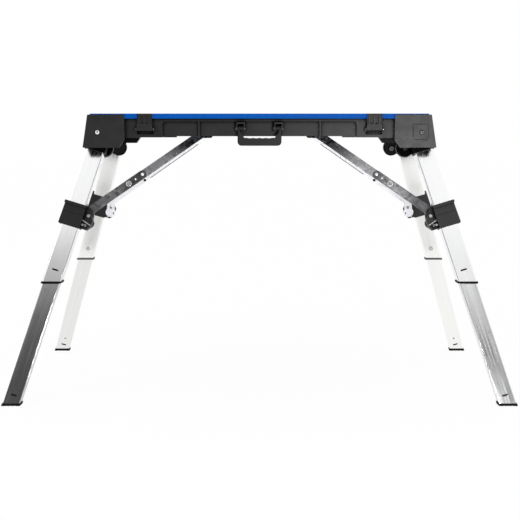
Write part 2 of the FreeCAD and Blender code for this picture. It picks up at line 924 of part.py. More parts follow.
# Beams under the work surface that carry the hinge cheeks
def hinge_beam(side):
    x, z = pivot_x[side], pivot_z
    end_rail_in = half_length - end_rail_setback - end_rail_thick
    middle = min(x, end_rail_in - gap - beam_half)
    waist = middle + beam_half - beam_thick
    cheek_front = knuckle_back - gap
    top_y = rise(top_under + beam_half)
    cheek = prism(
        [(middle - beam_half + beam_thick, top_y), (x - cheek_r, rise(z)),
         (x + cheek_r, rise(z)), (waist, rise(end_rail_bottom - cheek_thick)), (waist, top_y)],
        cheek_front - cheek_thick, cheek_front,
    )
    cheek = cheek.fuse(rod(x, rise(z), cheek_r, cheek_front - cheek_thick, cheek_front))
    bore_low = cheek_front - cheek_thick
    bore_low += pivot_skin if side == "left" else -cut_over
    cheek = cheek.cut(rod(x, rise(z), pivot_r, bore_low, cheek_front + cut_over))
    cheek = in_plane(cheek.removeSplitter())
    cheek = cheek.cut(
        box(x - half_length, x + half_length, -half_depth, half_depth, top_under, 2 * top_height)
    )
    plate = box(
        middle - beam_half, middle + beam_half, -beam_reach, beam_reach,
        top_under - beam_thick, top_under,
    )
    parts = [cheek, to_rear(cheek)]
    for edge in (middle - beam_half, middle + beam_half - beam_thick):
        parts.append(
            box(
                edge, edge + beam_thick, -beam_reach, beam_reach,
                top_under - beam_lip, top_under,
            )
        )
    return plate.fuse(parts).removeSplitter()


# Bars under the work surface that carry the upper brace pivots
link_front = -(outer_thick / 2 + collar_wall + gap)
lower_web = (link_front - link_thick, link_front)
upper_web = (lower_web[0] - gap - link_thick, lower_web[0] - gap)
tab_front = upper_web[0] - gap


def anchor_bar():
    x, z = brace_high_x, brace_high_z
    tab = prism(
        [(x - tab_in, rise(top_under + bar_half)), (x - tab_in, rise(tab_low_z)),
         (x + tab_out, rise(tab_low_z)), (x + tab_out, rise(top_under + bar_half))],
        tab_front - tab_thick, tab_front,
    )
    lower = [
        e for e in tab.Edges
        if abs(e.tangentAt(e.FirstParameter).z) > 0.9 and e.CenterOfMass.y < rise(tab_low_z) + touch
    ]
    tab = tab.makeFillet(tab_corner, lower)
    tab = tab.cut(
        rod(x, rise(z), brace_pin_r, tab_front - tab_thick - cut_over, tab_front + cut_over)
    )
    tab = in_plane(tab).cut(
        box(x - half_length, x + half_length, -half_depth, half_depth, top_under, 2 * top_height)
    )
    middle = x + bar_shift
    plate = box(
        middle - bar_half, middle + bar_half, -beam_reach, beam_reach,
        top_under - tab_thick, top_under,
    )
    return plate.fuse([tab, to_rear(tab)]).removeSplitter()


def anchor_pin():
    x, y = brace_high_x, rise(brace_high_z)
    back = tab_front - tab_thick
    pin = rod(x, y, brace_pin_r, back, upper_web[1] + gap)
    pin = pin.fuse(rod(x, y, brace_pin_head_r, back - brace_pin_head_high, back))
    front = upper_web[1] + gap
    pin = pin.fuse(rod(x, y, brace_pin_head_r, front, front + brace_pin_head_high))
    return in_plane(pin.removeSplitter())


# Brace links in the plane frame
bolt_a = -ear_bolt_in
bolt_s = along(collar_z) + ear_bolt_up
ear_bolt = plane_spot(bolt_a, bolt_s)
brace_foot = (ear_bolt[0] - brace_foot_in, ear_bolt[1] + rise(brace_foot_up))
high_pivot = (brace_high_x, rise(brace_high_z))
lobe = (ear_bolt[0] + lobe_shift_x, ear_bolt[1] + lobe_shift_z)
brace_long = math.hypot(high_pivot[0] - brace_foot[0], high_pivot[1] - brace_foot[1])


def on_brace(distance):
    """A point on the straight line from the foot of the brace to the upper pivot."""
    share = distance / brace_long
    return (
        brace_foot[0] + (high_pivot[0] - brace_foot[0]) * share,
        brace_foot[1] + (high_pivot[1] - brace_foot[1]) * share,
    )


def stud(at, radius, low, high):
    """A flat-headed stud whose outer edge is bevelled."""
    body = rod(*on_brace(at), radius, min(low, high), max(low, high))
    crown = [e for e in body.Edges if abs(e.CenterOfMass.z - high) < touch]
    return in_plane(body.makeChamfer(stud_high / 2, crown))


def lower_link(side):
    low, high = lower_web
    bar = stadium(brace_foot, on_brace(link_end), link_half, low, high)
    neck = stadium(brace_foot, lobe, link_half, low, high)
    bar = bar.fuse([neck, rod(*lobe, lobe_r, low, high)])
    slot_x, slot_y = lobe[0] - lobe_slot_in, lobe[1] - lobe_slot_down
    reach = (lobe_slot_wide - lobe_slot_high) / 2
    slot = stadium(
        (slot_x, slot_y + reach), (slot_x, slot_y - reach),
        lobe_slot_high / 2, low - cut_over, high + cut_over,
    )
    bar = bar.cut(slot)
    bar = bar.cut(rod(*ear_bolt, brace_pin_r + fit, low - cut_over, high + cut_over))
    turn = math.atan2(high_pivot[1] - brace_foot[1], high_pivot[0] - brace_foot[0])
    flange = box(
        link_flange_start, link_flange_start + link_flange_long,
        -link_half, -link_half + link_flange_thick,
        low - link_flange_high, high,
    )
    flange.Placement = FreeCAD.Placement(
        V(*brace_foot, 0), FreeCAD.Rotation(V(0, 0, 1), math.degrees(turn))
    )
    spots = ((washer_along, washer_r), (rivet_along[side], rivet_r), (elbow_along[side], elbow_r))
    solids = [in_plane(bar.fuse(flange).removeSplitter())]
    solids += [stud(at, radius, high, high + stud_high) for at, radius in spots]
    return solids


def upper_link(side):
    low, high = upper_web
    elbow = elbow_along[side]
    bar = stadium(on_brace(elbow), high_pivot, link_slim, low, high)
    bar = bar.cut(rod(*high_pivot, brace_pin_r + fit, low - cut_over, high + cut_over))
    return [in_plane(bar), stud(elbow, elbow_r, low, low - stud_high)]


# Collars that hold the lower brace pivots
collar_at = along(collar_z)
collar_low = collar_at - collar_long / 2
collar_high = collar_at + collar_long / 2
collar_face = outer_thick / 2 + collar_wall


def brace_collar():
    body = prism(
        [
            (-collar_in, collar_low), (collar_out_low, collar_low),
            (collar_out_top, collar_high), (-collar_in, collar_high),
        ],
        -collar_face, collar_face,
    )
    body = round_along(body, collar_wall, V(0, 0, 1))
    lip = box(
        -collar_in, collar_out_top + collar_lip_out,
        collar_high - collar_lip_long, collar_high,
        -collar_face, collar_face + collar_lip_out,
    )
    body = body.fuse(round_along(lip, collar_lip_out, V(0, 0, 1)))
    ear = prism(
        [
            (-collar_in + collar_wall, bolt_s + ear_top),
            (bolt_a + ear_neck_in, bolt_s + ear_top),
            (bolt_a - ear_neck_in, bolt_s + ear_neck_up),
            (bolt_a - ear_in, bolt_s + ear_high), (bolt_a - ear_in, bolt_s + ear_low),
            (bolt_a - ear_foot_in, bolt_s - ear_down),
            (-collar_in + collar_wall, bolt_s - ear_down),
        ],
        -collar_face, -collar_face + ear_thick,
    )
    body = body.fuse(ear)
    groove_at = collar_low + collar_groove_up
    body = body.cut(
        box(
            -collar_in - cut_over, collar_out_low + cut_over,
            groove_at, groove_at + collar_groove_wide,
            collar_face - collar_groove_deep, collar_face + cut_over,
        )
    )
    hollow = rounded_block(
        outer_wide, outer_thick, collar_low - cut_over, collar_high + cut_over, outer_corner
    )
    body = body.cut(upright(hollow))
    body = body.cut(rod(bolt_a, bolt_s, brace_pin_r, -2 * collar_face, 2 * collar_face))
    for da, ds in clamp_spots:
        body = body.cut(
            rod(bolt_a + da, bolt_s + ds, clamp_shank_r, -2 * collar_face, 2 * collar_face)
        )
    return in_leg(body.removeSplitter())


def collar_bolts():
    ear_face = -collar_face + ear_thick
    back = lower_web[0] - gap
    pin = rod(bolt_a, bolt_s, brace_pin_r, back, ear_face)
    pin = pin.fuse(
        [
            rod(bolt_a, bolt_s, brace_pin_head_r, ear_face, ear_face + brace_pin_head_high),
            rod(bolt_a, bolt_s, brace_pin_head_r, back - brace_pin_head_high, back),
        ]
    )
    solids = [in_leg(pin.removeSplitter())]
    for da, ds in clamp_spots:
        a, s = bolt_a + da, bolt_s + ds
        screw = rod(a, s, clamp_shank_r, -collar_face, ear_face)
        screw = screw.fuse(hexagon(a, s, clamp_head_r, ear_face, ear_face + clamp_head_high))
        solids.append(in_leg(screw.removeSplitter()))
    return solids


for side in ("right", "left"):
    beam, bar = hinge_beam(side), anchor_bar()
    save("hinge_beam_" + side, beam if side == "right" else to_left(beam))
    save("anchor_bar_" + side, bar if side == "right" else to_left(bar))

save("pivot_bolts", *[at_corner(pivot_bolt(side), row, side) for row, side in CORNERS])
save("anchor_pins", *[at_corner(anchor_pin(), row, side) for row, side in CORNERS])

for row, side in CORNERS:
    tag = "_" + row + "_" + side
    pieces = {
        "outer_tube": [outer_tube()],
        "inner_tube": [inner_tube()],
        "end_ring": [end_ring()],
        "foot": [foot()],
        "lock_button": [lock_button()],
        "leg_head": [leg_head(side)],
        "brace_collar": [brace_collar()],
        "collar_bolts": collar_bolts(),
        "lower_link": lower_link(side),
        "upper_link": upper_link(side),
    }
    for name, solids in pieces.items():
        save(name + tag, *[at_corner(s, row, side) for s in solids])
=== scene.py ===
import json
import math

import bpy
from mathutils import Matrix, Vector


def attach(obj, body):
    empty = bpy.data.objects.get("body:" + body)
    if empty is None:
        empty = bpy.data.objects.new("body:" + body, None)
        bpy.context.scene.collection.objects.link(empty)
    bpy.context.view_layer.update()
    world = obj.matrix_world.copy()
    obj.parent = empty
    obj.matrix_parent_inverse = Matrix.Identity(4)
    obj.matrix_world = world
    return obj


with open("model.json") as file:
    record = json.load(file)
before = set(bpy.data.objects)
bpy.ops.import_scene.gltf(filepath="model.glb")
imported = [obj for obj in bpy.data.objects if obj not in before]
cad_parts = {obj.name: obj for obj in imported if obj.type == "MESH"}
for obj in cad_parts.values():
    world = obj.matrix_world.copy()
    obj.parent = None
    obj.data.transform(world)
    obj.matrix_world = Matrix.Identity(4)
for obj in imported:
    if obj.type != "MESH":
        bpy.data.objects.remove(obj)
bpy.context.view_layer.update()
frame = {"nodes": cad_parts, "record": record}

scene = bpy.context.scene
scene.view_settings.view_transform = "Standard"

# The legs of a row lean inwards in one plane and are splayed within it, as in the solids. The
# plane lies PLANE_FOOT metres from the middle of the bench at the floor.
LEAN_RISE = 0.2435
SPLAY_RISE = 0.3152
PLANE_FOOT = 0.355
LEAN = math.atan(LEAN_RISE)
SPLAY = math.atan(SPLAY_RISE * math.cos(LEAN))
# Places of the coordinates in a vector
X, Y, Z = range(3)


class Corner:
    """A corner of the bench: its name, the axes of its leg and places in the leg's plane."""

    def __init__(self, row, side):
        self.row = row
        self.side = side
        self.name = row + "_" + side
        rise = Vector((0, math.sin(LEAN), math.cos(LEAN)))
        level = Vector((1, 0, 0))
        self.across = self.mirrored(level * math.cos(SPLAY) + rise * math.sin(SPLAY))
        self.up = self.mirrored(rise * math.cos(SPLAY) - level * math.sin(SPLAY))
        self.out = self.mirrored(Vector((0, -math.cos(LEAN), math.sin(LEAN))))

    def mirrored(self, vector):
        """Carries a vector between the front right corner and this one."""
        x = -vector.x if self.side == "left" else vector.x
        y = -vector.y if self.row == "rear" else vector.y
        return Vector((x, y, vector.z))

    def point(self, x, z, lift):
        """A place given by X and height in the leg's plane, lifted outwards off the plane."""
        y = -PLANE_FOOT + LEAN_RISE * z
        return self.mirrored(Vector((x, y - lift * math.cos(LEAN), z + lift * math.sin(LEAN))))

    def turn(self):
        """Euler angles of the leg's own axes."""
        axes = (self.across, self.up, self.across.cross(self.up))
        return Matrix(axes).transposed().to_euler()


CORNERS = [Corner(row, side) for row in ("front", "rear") for side in ("right", "left")]


class Graph:
    """A node tree, with short calls for the nodes that the looks and the light share."""

    def __init__(self, tree):
        self.tree = tree

    def add(self, kind, **settings):
        """A new node with the given settings."""
        node = self.tree.nodes.new(kind)
        for key, value in settings.items():
            setattr(node, key, value)
        return node

    def feed(self, socket, value):
        """Gives a socket the output of another node, a colour or a number."""
        if isinstance(value, bpy.types.NodeSocket):
            self.tree.links.new(value, socket)
        elif isinstance(value, tuple):
            socket.default_value = (*value, 1)
        else:
            socket.default_value = value

    def calc(self, kind, a, b=0.0):
        """The result of one operation on one or two values."""
        node = self.add("ShaderNodeMath", operation=kind)
        self.feed(node.inputs[0], a)
        self.feed(node.inputs[1], b)
        return node.outputs[0]

    def axis(self, vector, index):
        """One coordinate of a vector."""
        node = self.add("ShaderNodeSeparateXYZ")
        self.feed(node.inputs[0], vector)
        return node.outputs[index]

    def spread(self, value, low, high, low_in=0.3, high_in=0.7, curve="LINEAR"):
        """Maps low_in to high_in onto low to high, and holds both ends."""
        node = self.add("ShaderNodeMapRange", interpolation_type=curve)
        ends = {"From Min": low_in, "From Max": high_in, "To Min": low, "To Max": high}
        for key, end in ends.items():
            self.feed(node.inputs[key], end)
        self.feed(node.inputs["Value"], value)
        return node.outputs["Result"]


# Sockets of the Mix node, by what it mixes
FACTOR = 0
COLOR_A, COLOR_B, COLOR_OUT = 6, 7, 2
VECTOR_A, VECTOR_B, VECTOR_OUT = 4, 5, 1
# Cosine between the softened and the true normal, at a sharp edge and on a flat face
EDGE_SHARP = 0.85
EDGE_FLAT = 0.995
EDGE_SAMPLES = 4
# Openness of a face deep in a recess and out in the open
HOLLOW_DEEP = 0.45
HOLLOW_OPEN = 0.95
HOLLOW_SAMPLES = 8


class Look(Graph):
    """A procedural material in the object's own coordinates, put together from noise layers."""

    def __init__(self, name):
        self.mat = bpy.data.materials.new(name)
        self.mat.use_nodes = True
        super().__init__(self.mat.node_tree)
        self.bsdf = self.tree.nodes["Principled BSDF"]
        self.coord = self.add("ShaderNodeTexCoord").outputs["Object"]

    def mapped(self, per_metre, turn=(0, 0, 0)):
        """Turned coordinates with their own count of features per metre along each axis."""
        node = self.add("ShaderNodeMapping", vector_type="TEXTURE")
        node.inputs["Rotation"].default_value = turn
        node.inputs["Scale"].default_value = [1 / count for count in per_metre]
        self.feed(node.inputs["Vector"], self.coord)
        return node.outputs["Vector"]

    def noise(self, per_metre, detail=3.0, rough=0.55, vector=None, output="Fac"):
        """Cloudy noise, as a value or as a colour."""
        node = self.add("ShaderNodeTexNoise")
        for key, value in (("Scale", per_metre), ("Detail", detail), ("Roughness", rough)):
            self.feed(node.inputs[key], value)
        self.feed(node.inputs["Vector"], self.coord if vector is None else vector)
        return node.outputs[output]

    def blend(self, factor, a, b, mode="MIX"):
        """The colour a, carried towards b or multiplied by b as far as the factor says."""
        node = self.add("ShaderNodeMix", data_type="RGBA", blend_type=mode)
        for index, value in ((FACTOR, factor), (COLOR_A, a), (COLOR_B, b)):
            self.feed(node.inputs[index], value)
        return node.outputs[COLOR_OUT]

    def soft_edges(self, radius):
        """Normals that round off the edges, so that they catch the light."""
        node = self.add("ShaderNodeBevel", samples=EDGE_SAMPLES)
        self.feed(node.inputs["Radius"], radius)
        return node.outputs["Normal"]

    def edge_mask(self, radius):
        """One along rounded-off edges and zero on flat faces."""
        facing = self.add("ShaderNodeVectorMath", operation="DOT_PRODUCT")
        self.feed(facing.inputs[0], self.soft_edges(radius))
        self.feed(facing.inputs[1], self.add("ShaderNodeNewGeometry").outputs["True Normal"])
        return self.spread(facing.outputs["Value"], 1.0, 0.0, EDGE_SHARP, EDGE_FLAT)

    def hollows(self, reach):
        """Zero deep in corners and recesses, one on open faces."""
        node = self.add("ShaderNodeAmbientOcclusion", samples=HOLLOW_SAMPLES)
        self.feed(node.inputs["Distance"], reach)
        return self.spread(node.outputs["AO"], 0.0, 1.0, HOLLOW_DEEP, HOLLOW_OPEN)

    def bump(self, *layers, over=None):
        """Relief from layers of (height, strength, depth in metres)."""
        for height, strength, depth in layers:
            node = self.add("ShaderNodeBump")
            self.feed(node.inputs["Strength"], strength)
            self.feed(node.inputs["Distance"], depth)
            self.feed(node.inputs["Height"], height)
            if over is not None:
                self.feed(node.inputs["Normal"], over)
            over = node.outputs["Normal"]
        self.feed(self.bsdf.inputs["Normal"], over)

    def finish(self, color, rough, metal=0.0, gloss=None):
        """Sets the surface's values and returns the material."""
        self.feed(self.bsdf.inputs["Base Color"], color)
        self.feed(self.bsdf.inputs["Roughness"], rough)
        self.feed(self.bsdf.inputs["Metallic"], metal)
        if gloss is not None:
            self.feed(self.bsdf.inputs["Specular IOR Level"], gloss)
        return self.mat


def grey(tone, blue=1.0):
    """A grey whose blue is a share of its tone."""
    return (tone, tone, tone * blue)


def scaled(color, share):
    """A colour made darker or lighter, up to white."""
    return tuple(min(1.0, part * share) for part in color)


# Radii of the softened edges and depths of the relief, in metres
MOULDED_EDGE = 0.0012
ZINC_EDGE = 0.0006
GRAIN_DEEP = 0.00005
WAVE_DEEP = 0.001
RUBBER_DEEP = 0.0001
CRYSTAL_DEEP = 0.0001
DIE_LINE_DEEP = 0.00001


def painted_edge_highlight(look, base, lit_edge_tone, amount):
    """Paints another tone onto the edges of a moulding as a highlight, here more and there less."""
    # Share of the painted highlight, here more and there less
    rub = look.spread(look.noise(60.0), amount * 0.4, amount, low_in=0.35, high_in=0.7)
    return look.blend(look.calc("MULTIPLY", look.edge_mask(MOULDED_EDGE), rub), base, lit_edge_tone)


# Tone and gloss of the painted shade deep in a recess; the share of them that is left in the
# painted shade under a given height, and how far below and above that height the shade fades
RECESS_SHADE_TONE = 0.001
RECESS_SHADE_GLOSS = 0.02
SHADE_SHARE = 0.15
SHADE_FADE_DOWN = 0.002
SHADE_FADE_UP = 0.001


def moulded(
    name, tone, grain=900.0, rough=0.42, gloss=0.25, shade_below=None, edge_light=0.5, reach=0.014
):
    """Black moulding with a fine grain, softly rounded edges with a painted highlight, and painted
    shade in its recesses and under a height if one is given.
    """
    look = Look(name)
    patches = look.spread(look.noise(14.0, detail=4.0), 0.0, 1.0)
    base = look.blend(patches, grey(tone * 0.9), grey(tone * 1.12, 1.027))
    # Painted highlight: a lighter tone along the edges, where they would catch the light
    base = painted_edge_highlight(look, base, grey(tone * 3 + 0.04), edge_light)
    # Painted shade: darker and less glossy in recesses, and below shade_below if it is given
    unshaded = look.hollows(reach)
    if shade_below is not None:
        dark_at = shade_below - SHADE_FADE_DOWN
        light_at = shade_below + SHADE_FADE_UP
        lit = look.spread(look.axis(look.coord, Z), SHADE_SHARE, 1.0, dark_at, light_at)
        unshaded = look.calc("MULTIPLY", unshaded, lit)
    base = look.blend(unshaded, grey(RECESS_SHADE_TONE), base)
    roughness = look.spread(look.noise(35.0, detail=4.0), rough - 0.04, rough + 0.06)
    shine = look.spread(unshaded, RECESS_SHADE_GLOSS, gloss, low_in=0.0, high_in=1.0)
    look.bump(
        (look.noise(grain, detail=2.0), 0.3, GRAIN_DEEP),
        (look.noise(6.0, detail=2.0), 0.08, WAVE_DEEP),
        over=look.soft_edges(MOULDED_EDGE),
    )
    return look.finish(base, roughness, gloss=shine)


# Features of the drawn tubes per metre across, along and out of the leg
DIE_LINES = (900, 5, 900)
STREAKS = (70, 1.4, 70)
MARKS = (60, 14, 60)
# Heights between which the outer tubes pass into painted shade, going down
LOW_SHADE_FULL = 0.42
LOW_SHADE_NONE = 0.56


def drawn_aluminium(name, corner, tone, rough, scratch, streak, low_shade_share=1.0):
    """Aluminium with die lines, streaks and handling marks along the leg, with painted shade low
    down.
    """
    look = Look(name)
    turn = corner.turn()
    lines = look.noise(1.0, 3.0, 0.6, look.mapped(DIE_LINES, turn))
    streaks = look.noise(1.0, 2.0, 0.5, look.mapped(STREAKS, turn))
    marks = look.noise(1.0, 4.0, 0.7, look.mapped(MARKS, turn))
    # A bluer tint at the front and a yellower one at the rear: painted light on one and the same
    # metal
    metal = (tone, tone * 1.003, tone * (1.01 if corner.row == "front" else 0.98))
    base = look.blend(
        look.spread(lines, 0.0, 1.0), scaled(metal, 1 - streak / 2), scaled(metal, 1 + streak / 4)
    )
    base = look.blend(look.spread(streaks, 0.0, 0.6), base, scaled(metal, 1 - streak))
    handled = look.spread(marks, 0.0, scratch, low_in=0.58, high_in=0.72)
    base = look.blend(handled, base, scaled(metal, 0.55))
    # Painted shade on the lower part of the tube
    low_shade = look.spread(look.axis(look.coord, Z), 1.0, 0.0, LOW_SHADE_FULL, LOW_SHADE_NONE)
    base = look.blend(low_shade, base, grey(low_shade_share), "MULTIPLY")
    roughness = look.spread(lines, rough - 0.05, rough + 0.08)
    look.bump((lines, 0.05, DIE_LINE_DEEP))
    return look.finish(base, roughness, metal=1.0)


# Crystals of the zinc and bends of their edges per metre, and how far the edges are bent
CRYSTALS = 120.0
BENDS = 45.0
BEND_SHARE = 0.012


def galvanised(name, low, high, cloud, light_at=None, reach=None):
    """Zinc with crystals and matt clouds, and darker away from the X where it is light, as painted
    shade.
    """
    look = Look(name)
    bent = look.add("ShaderNodeMix", data_type="VECTOR")
    look.feed(bent.inputs[FACTOR], BEND_SHARE)
    look.feed(bent.inputs[VECTOR_A], look.coord)
    look.feed(bent.inputs[VECTOR_B], look.noise(BENDS, 2.0, 0.5, output="Color"))
    cells = look.add("ShaderNodeTexVoronoi")
    look.feed(cells.inputs["Scale"], CRYSTALS)
    look.feed(cells.inputs["Vector"], bent.outputs[VECTOR_OUT])
    chances = look.add("ShaderNodeSeparateColor")
    look.feed(chances.inputs[0], cells.outputs["Color"])
    tint, shine, tilt = chances.outputs
    base = look.blend(tint, grey(low, 1.04), grey(high, 1.02))
    clouds = look.spread(look.noise(28.0, detail=4.0), 0.0, 0.9, low_in=0.38, high_in=0.62)
    base = look.blend(clouds, base, grey(cloud, 1.05))
    if light_at is not None:
        away = look.calc("ABSOLUTE", look.calc("SUBTRACT", look.axis(look.coord, X), light_at))
        shade = look.spread(away, 0.0, 0.75, low_in=reach * 0.3, high_in=reach)
        base = look.blend(shade, base, grey(low * 0.5, 1.04))
    roughness = look.spread(shine, 0.24, 0.46, low_in=0.0, high_in=1.0)
    look.bump(
        (tilt, 0.2, CRYSTAL_DEEP),
        (look.noise(600.0, detail=2.0), 0.15, GRAIN_DEEP),
        over=look.soft_edges(ZINC_EDGE),
    )
    return look.finish(base, roughness, metal=1.0)


# X between which the steel pieces of the bench pass from the left end's tone to the right end's
# painted shade
LEFT_END_TO = -0.1
RIGHT_END_FROM = 0.1


def bright_steel(name, tone, rough=0.18, metal=1.0, right_shade_share=1.0):
    """Plated steel with dark and bright patches; the right end of the bench may be darker, as
    painted shade.
    """
    look = Look(name)
    patches = look.spread(look.noise(260.0, detail=4.0), 0.0, 1.0, low_in=0.35, high_in=0.5)
    base = look.blend(patches, grey(tone * 0.35), grey(tone, 1.01))
    right = look.spread(look.axis(look.coord, X), 0.0, 1.0, LEFT_END_TO, RIGHT_END_FROM)
    # Painted shade at the right end of the bench
    base = look.blend(right, base, grey(right_shade_share), "MULTIPLY")
    roughness = look.spread(look.noise(420.0), rough, rough * 2)
    look.bump((look.noise(900.0, detail=2.0), 0.2, GRAIN_DEEP))
    return look.finish(base, roughness, metal)


BLUE_DEEP = (0.0, 0.062, 0.31)
BLUE_LIGHT = (0.0, 0.074, 0.36)
BLUE_RUBBED = (0.005, 0.12, 0.48)
# Blue of the painted highlight on the board's edges
BLUE_EDGE_HIGHLIGHT = (0.01, 0.15, 0.55)
# Rub marks of the board per metre along X, Y and Z
RUB_MARKS = (5, 60, 60)


def blue_board():
    """Blue laminate with faint rub marks along the bench, and a painted highlight on its edges."""
    look = Look("blue_board")
    patches = look.spread(look.noise(7.0, detail=5.0), 0.0, 1.0)
    base = look.blend(patches, BLUE_DEEP, BLUE_LIGHT)
    marks = look.noise(1.0, 4.0, 0.6, look.mapped(RUB_MARKS))
    rub = look.spread(marks, 0.0, 0.2, low_in=0.6, high_in=0.75)
    base = look.blend(rub, base, BLUE_RUBBED)
    # Painted highlight along the board's edges
    base = painted_edge_highlight(look, base, BLUE_EDGE_HIGHLIGHT, 0.4)
    roughness = look.spread(look.noise(30.0, detail=4.0), 0.36, 0.5)
    look.bump((look.noise(800.0, detail=2.0), 0.3, GRAIN_DEEP))
    return look.finish(base, roughness, gloss=0.05)


def rubber():
    """Dull black rubber with dust."""
    look = Look("foot_rubber")
    dust = look.spread(look.noise(120.0, detail=5.0), 0.0, 0.6)
    base = look.blend(dust, grey(0.002), grey(0.012, 0.92))
    roughness = look.spread(look.noise(200.0), 0.6, 0.85)
    look.bump((look.noise(700.0), 0.4, RUBBER_DEEP))
    return look.finish(base, roughness, gloss=0.1)


# The rails' faces are dark below this height, as painted shade
RAIL_SHADE = 0.783

LOOKS = {
    "top_blue": blue_board(),
    "moulded_black": moulded(
        "moulded_rail", 0.009, rough=0.36, gloss=0.27, shade_below=RAIL_SHADE, edge_light=0.8
    ),
    "housing_black": moulded("moulded_housing", 0.004, rough=0.4, gloss=0.4, edge_light=1.0, reach=0.005),
    "handle_black": moulded("moulded_handle", 0.010, rough=0.4, gloss=0.27, edge_light=1.0, reach=0.006),
    "grip_black": moulded("moulded_grip", 0.007, rough=0.4, gloss=0.22, edge_light=0.8, reach=0.006),
    "bracket_black": moulded("black_bracket", 0.003, grain=1500.0, rough=0.4, gloss=0.1),
    "ring_black": moulded("moulded_ring", 0.002, gloss=0.08),
    # Rear rings painted lighter than the front ones, as the light falls on them
    "ring_rear": moulded("rear_ring", 0.1, rough=0.5, gloss=0.15, reach=0.002),
    "head_black": moulded("moulded_head", 0.002, rough=0.36, gloss=0.1),
    "collar_black": moulded("moulded_collar", 0.007, edge_light=1.0),
    # Right collars painted lighter and glossier than the left ones, as the light falls on them
    "collar_right": moulded("moulded_collar_right", 0.012, gloss=0.34, edge_light=1.0),
    "fastener_steel": bright_steel("zinc_bolt", 0.42, rough=0.26),
    "housing_bolt": bright_steel("housing_bolt", 0.9, rough=0.3, metal=0.7, right_shade_share=0.12),
    "pivot_bolt": bright_steel("pivot_bolt", 0.1, rough=0.3),
    "washer_steel": bright_steel("zinc_washer", 1.0, metal=0.3),
    "pin_steel": bright_steel("pin_steel", 0.22),
    "button_steel": bright_steel("button_steel", 0.6),
    "foot_rubber": rubber(),
    # The rear links' zinc is painted lighter than the front links', as the light falls on it
    "zinc_rear": galvanised("zinc_rear", low=0.74, high=0.92, cloud=0.86),
}
# The front links: their tone, lighter or darker as the light falls on each, the X at which each is
# light, and how far that reaches; painted light and shade
for link, tone, light_at, reach in (
    ("lower_link_front_right", 0.48, 0.415, 0.06),
    ("upper_link_front_right", 0.68, 0.33, 0.08),
    ("lower_link_front_left", 0.28, -0.455, 0.07),
    ("upper_link_front_left", 0.48, -0.315, 0.14),
):
    LOOKS[link] = galvanised(link + "_zinc", tone * 0.25, tone, tone * 0.5, light_at, reach)

# Tones per corner, and the share left low down on the outer tubes: lighter or darker as the light
# falls on each corner, painted light and shade
OUTER_TONE = {"front_left": 0.97, "front_right": 0.97, "rear_left": 0.94, "rear_right": 0.97}
LOW_SHADE_SHARE = {"front_left": 0.8, "front_right": 0.93, "rear_left": 1.0, "rear_right": 1.0}
INNER_TONE = {"front_left": 0.56, "front_right": 0.85, "rear_left": 0.84, "rear_right": 0.95}
INNER_SCRATCH = {"front": 0.5, "rear": 0.1}
INNER_STREAK = {"front": 0.35, "rear": 0.08}
for corner in CORNERS:
    outer = "outer_" + corner.name
    LOOKS[outer] = drawn_aluminium(
        outer, corner, OUTER_TONE[corner.name],
        rough=0.15, scratch=0.15, streak=0.04, low_shade_share=LOW_SHADE_SHARE[corner.name],
    )
    inner = "inner_" + corner.name
    LOOKS[inner] = drawn_aluminium(
        inner, corner, INNER_TONE[corner.name],
        rough=0.13, scratch=INNER_SCRATCH[corner.row], streak=INNER_STREAK[corner.row],
    )

# Nodes with a look apart from the others of their slot
OWN_LOOK = {
    "rail_pins": "pin_steel",
    "housing_bolts": "housing_bolt",
    "pivot_bolts": "pivot_bolt",
    "handle": "grip_black",
}


def look_of(node, slot):
    """The look of a node: its own, or that of its slot, which may differ by row, side or corner, as
    painted light and shade.
    """
    front = "_rear_" not in node
    corner = "_".join(node.split("_")[-2:])
    by_slot = {
        "tube_outer": "outer_" + corner,
        "tube_inner": "inner_" + corner,
        "brace_zinc": node if front else "zinc_rear",
        "collar_black": "collar_right" if node.endswith("_right") else slot,
        "ring_black": slot if front else "ring_rear",
    }
    return LOOKS[OWN_LOOK.get(node, by_slot.get(slot, slot))]


slots = {part["node"]: part["material_slot"] for part in frame["record"]["subparts"]}
for node, obj in frame["nodes"].items():
    for held in obj.material_slots:
        held.material = look_of(node, slots[node])


# Small pieces that the solids leave out
def mesh_piece(name, points, faces, look_name, body):
    """A small piece of the given mesh and look that rides on a body."""
    mesh = bpy.data.meshes.new(name)
    mesh.from_pydata([tuple(point) for point in points], [], faces)
    mesh.materials.append(LOOKS[look_name])
    obj = bpy.data.objects.new(name, mesh)
    scene.collection.objects.link(obj)
    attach(obj, body)


# Sides of the turned pieces
ROUND = 28
SMALL_ROUND = 20
HEXAGON = 6


def turned(name, place, axis, profile, look_name, body, sides=ROUND):
    """A small piece turned about an axis; the profile lists radii and heights off the place."""
    z = axis.normalized()
    x = Vector((1, 0, 0)).cross(z).normalized()
    y = z.cross(x)
    angles = [2 * math.pi * i / sides for i in range(sides)]
    points = [
        place + z * height + (x * math.cos(angle) + y * math.sin(angle)) * radius
        for radius, height in profile
        for angle in angles
    ]
    top = len(points) - sides
    faces = [tuple(range(sides))[::-1]]
    for ring in range(0, top, sides):
        for i in range(sides):
            j = (i + 1) % sides
            faces.append((ring + i, ring + j, ring + sides + j, ring + sides + i))
    faces.append(tuple(range(top, len(points))))
    mesh_piece(name, points, faces, look_name, body)


def flat_strip(name, start, end, out, wide, thick, look_name, body):
    """A straight strip that lies on a face with the given outward direction."""
    run = (end - start).normalized()
    half = out.cross(run).normalized() * wide / 2
    outline = (start - half, start + half, end + half, end - half)
    points = [point + lift for lift in (out * 0, out * thick) for point in outline]
    faces = [(3, 2, 1, 0), (4, 5, 6, 7)]
    for i in range(4):
        j = (i + 1) % 4
        faces.append((i, j, j + 4, i + 4))
    mesh_piece(name, points, faces, look_name, body)


